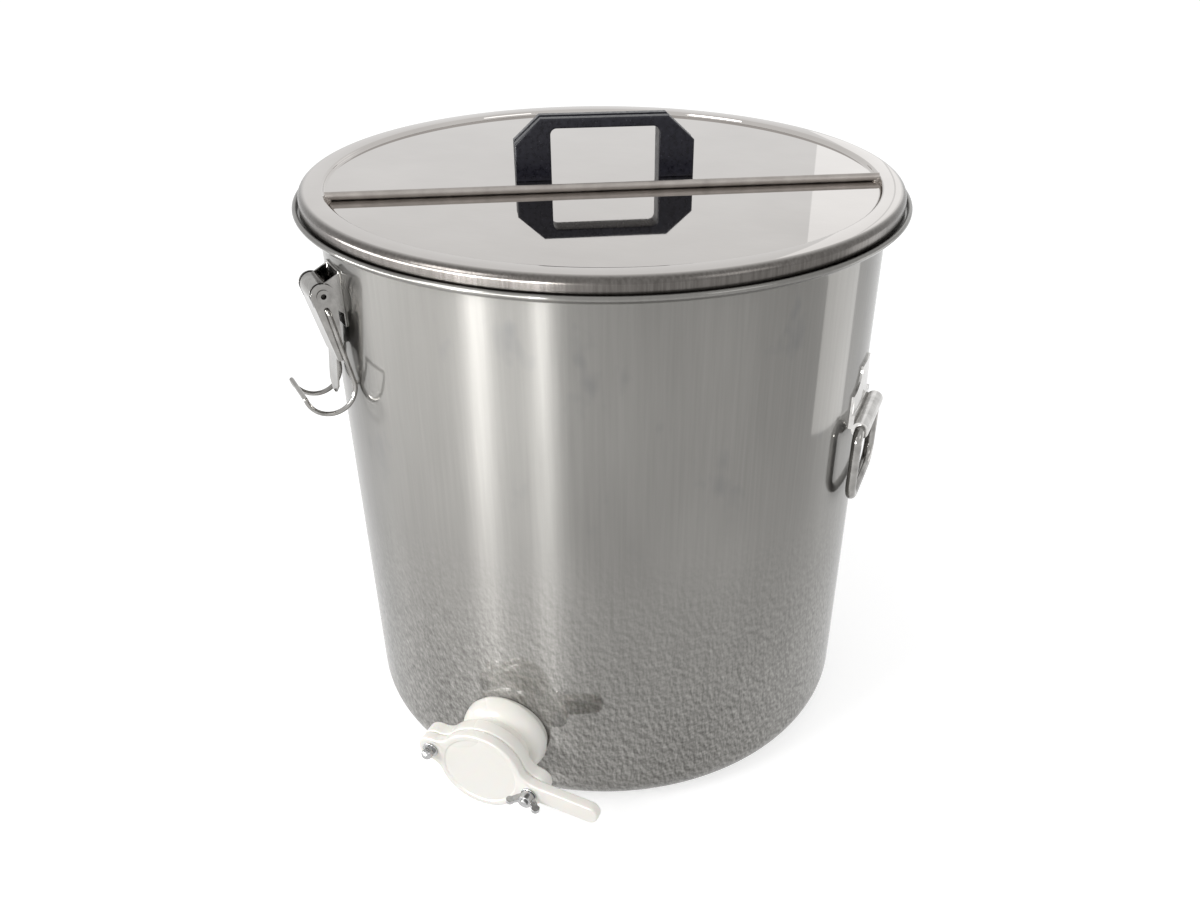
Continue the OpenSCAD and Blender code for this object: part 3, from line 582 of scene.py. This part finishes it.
for side in ("front", "rear"):
    softened(f"{side}_latch_base", "tank", sheet_edge, bright_steel)
    softened(f"{side}_latch_lever", f"{side}_lever", sheet_edge, bright_steel)
    coat(bright_steel, f"{side}_latch_rivet", f"{side}_latch_bail")

# Drop handles: a bracket of pressed sheet on each side of the wall, brighter than the latches, with a
# curled sleeve along its edge. A bail of bent rod swings in the sleeve.
bracket_steel = grained("bracket_steel", 120, 5, 0.6, (0.42, 0.412, 0.400), (0.62, 0.61, 0.595), 0.08, 0.18)
for side in ("right", "left"):
    softened(f"{side}_handle_bracket", "tank", sheet_edge, bracket_steel)
    coat(bright_steel, f"{side}_handle_bail")

# Gate body: cream nylon moulded in one piece. A threaded spigot passes the wall, a fat round flange
# seats on it, and a short neck carries the front plate with its two bolt ears. Sizes are in mm.
mm = 0.001
gate_lean = math.radians(12.5)
bore_r, spigot_r, spigot_l, chamfer, lead_in = 20, 23.75, 18, 0.4, 0.55
thread_r, thread_depth, thread_pitch = 23.55, 0.2, 2.5
thread_from, thread_to, thread_clear = -17.5, -1.0, -0.5
gasket_t, flange_r, flange_edge, swell_w, swell_h = 1.5, 31, 2.4, 10.0, 13.5
neck_r, neck_fillet, tuck_r, tuck_low, tuck_high = 24, 2.2, 26, 27, 35.4
plate_low, plate_high, plate_edge, plate_r, bolt_r = 25.5, 35.5, 1.6, 31, 2.6
ear_x, ear_r, cove_x, cove_y, cove_r = 37, 9.5, 37.2, 21.5, 12
ear_end, plate_end = 89.47, 30.03


def on_gate(surface):
    """Sets points on the gate: x along the bolt line, y across it, height out from the wall."""
    points, faces = surface
    x, y, h = points.T
    c, s = math.cos(gate_lean), math.sin(gate_lean)
    return np.stack([x * c + y * s, -(tank_r + h), gate_z - x * s + y * c], -1), faces


def circle(cx, cy, r, steps):
    """A closed ring of points."""
    return arc(cx, cy, r, 0, 360, steps + 1)[:-1]


thread_h = np.linspace(thread_from, thread_to, 177)
thread = np.stack([thread_r + thread_depth * np.sin(2 * np.pi * thread_h / thread_pitch), thread_h], -1)
flange_h = gasket_t + flange_edge
swell = np.radians(np.linspace(0, 72, 22))
dome = np.stack([flange_r - swell_w * (1 - np.cos(swell)), flange_h + swell_h * np.sin(swell)], -1)
body_line = np.concatenate([
    [[bore_r, chamfer - spigot_l], [bore_r + chamfer, -spigot_l], [spigot_r - lead_in, -spigot_l]],
    thread, [[spigot_r, thread_clear], [spigot_r, gasket_t]],
    arc(flange_r - flange_edge, flange_h, flange_edge, -90, 0, 8), dome,
    arc(neck_r + neck_fillet, plate_low - neck_fillet, neck_fillet, 180, 90, 8),
    [[tuck_r, tuck_low], [bore_r, tuck_high]]])
tube = grid(turned(body_line * mm, 144), closed_u=True, closed_v=True)
plate_line = ccw(np.concatenate([
    arc(ear_x, 0, ear_r, -ear_end, ear_end, 25),
    arc(cove_x, cove_y, cove_r, 180 + ear_end, 180 + plate_end, 12),
    arc(0, 0, plate_r, plate_end, 180 - plate_end, 40),
    arc(-cove_x, cove_y, cove_r, -plate_end, -ear_end, 12),
    arc(-ear_x, 0, ear_r, 180 - ear_end, 180 + ear_end, 25),
    arc(-cove_x, -cove_y, cove_r, ear_end, plate_end, 12),
    arc(0, 0, plate_r, 180 + plate_end, 360 - plate_end, 40),
    arc(cove_x, -cove_y, cove_r, 180 - plate_end, 180 - ear_end, 12)]) * mm)
bolt_holes = [circle(side * ear_x * mm, 0, bolt_r * mm, 24) for side in (-1, 1)]
plate = slab(plate_line, plate_low * mm, plate_high * mm, plate_edge * mm,
             holes=[circle(0, 0, bore_r * mm, 144), *bolt_holes])
gate = piece("gate_casting", [on_gate(s) for s in [tube, *plate]], "tank")
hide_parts("gate_body")

creams = [(0.2, (0.905, 0.882, 0.822)), (0.8, (0.925, 0.906, 0.856))]
nylon, tree, shader = finish("nylon", Subsurface_Weight=0.15, Subsurface_Scale=0.004,
                             Specular_IOR_Level=0.5)
waxy = grain(tree, (1, 1, 1), 14, 1, 0.4)
tree.links.new(tint(tree, waxy, creams), shader.inputs["Base Color"])
tree.links.new(band(tree, waxy, 0.3, 0.7, 0.25, 0.32), shader.inputs["Roughness"])
relief(tree, shader, grain(tree, (1, 1, 1), 420, 2, 0.5), 0.03, 0.0002)
gate.data.materials.append(nylon)

# Gate blade: a nylon plate that swings on the pivot bolt and shuts the passage. It has a sunk round
# face, a notch that opens downward for the clamp bolt, and a finger lever. Sizes are in mm.
blade_low, blade_high, blade_edge, face_r, sunk_depth = 35.8, 43.3, 1.5, 27, 0.8
lever_tilt, lever_root, lever_l, lever_r, notch_r = 5, 14.8, 71.2, 7, 3.4
lever_top, lever_low, notch_right, notch_left = 75.1, -27.2, -69.0, 107.5
tip_x = lever_root + (lever_l - lever_r) * math.cos(math.radians(lever_tilt))
tip_y = (lever_l - lever_r) * math.sin(math.radians(lever_tilt))
notch_x = ear_x - notch_r
notch_low = math.sqrt(cove_r ** 2 - (cove_x - notch_x) ** 2) - cove_y
blade_line = ccw(np.concatenate([
    arc(0, 0, plate_r, 180 - plate_end, plate_end, 40),
    arc(cove_x, cove_y, cove_r, 180 + plate_end, 180 + ear_end, 12),
    arc(ear_x, 0, ear_r, ear_end, lever_top, 4),
    arc(tip_x, tip_y, lever_r, 90 + lever_tilt, lever_tilt - 90, 24),
    arc(ear_x, 0, ear_r, lever_low, notch_right, 8),
    arc(ear_x, 0, notch_r, 0, 180, 14), [[notch_x, notch_low]],
    arc(cove_x, -cove_y, cove_r, notch_left, 180 - plate_end, 9),
    arc(0, 0, plate_r, 360 - plate_end, 180 + plate_end, 40),
    arc(-cove_x, -cove_y, cove_r, plate_end, ear_end, 12),
    arc(-ear_x, 0, ear_r, 180 + ear_end, 180 - ear_end, 25),
    arc(-cove_x, cove_y, cove_r, -ear_end, -plate_end, 12)]) * mm)
sunk_steps = [[0, 0], [0.2, 0.1], [0.6, 0.55], [1.0, sunk_depth], [1.6, sunk_depth], [face_r, sunk_depth]]
sunk_line = (np.array([face_r, blade_high]) - sunk_steps) * mm
face = grid(turned(sunk_line, 96), closed_v=True)
shut = slab(blade_line, blade_low * mm, blade_high * mm, blade_edge * mm,
            holes=[circle(-ear_x * mm, 0, bolt_r * mm, 24)], recesses=[circle(0, 0, face_r * mm, 96)])
blade = piece("gate_shutter", [on_gate(s) for s in [face, *shut]], "blade")
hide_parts("gate_blade")
blade.data.materials.append(nylon)

# Gate fixings: the nylon lock nut inside the tank, pale silicone gaskets on both sides of the wall,
# and zinc plated bolts, washers, a domed nut and a wing nut. The widths of their rounds are in mm.
zinc = grained("zinc", 300, 4, 0.6, (0.30, 0.30, 0.30), (0.50, 0.50, 0.50), 0.12, 0.28)
silicone = grained("silicone", 200, 3, 0.5, (0.66, 0.65, 0.61), (0.76, 0.75, 0.71), 0.5, 0.65, metal=0.0)
for name, body, slot, width, material in (
        ("gate_lock_nut", "tank", "nylon", 0.8, nylon), ("gate_pivot_bolt", "tank", "zinc", 0.4, zinc),
        ("gate_clamp_bolt", "tank", "zinc", 0.4, zinc), ("gate_washers", "tank", "zinc", 0.2, zinc),
        ("gate_wing_nut", "wing_nut", "zinc", 0.6, zinc), ("gate_pivot_nut", "tank", "zinc", 0.3, zinc)):
    softened(name, body, width * mm, material)
coat(silicone, "gate_outer_gasket", "gate_inner_gasket")
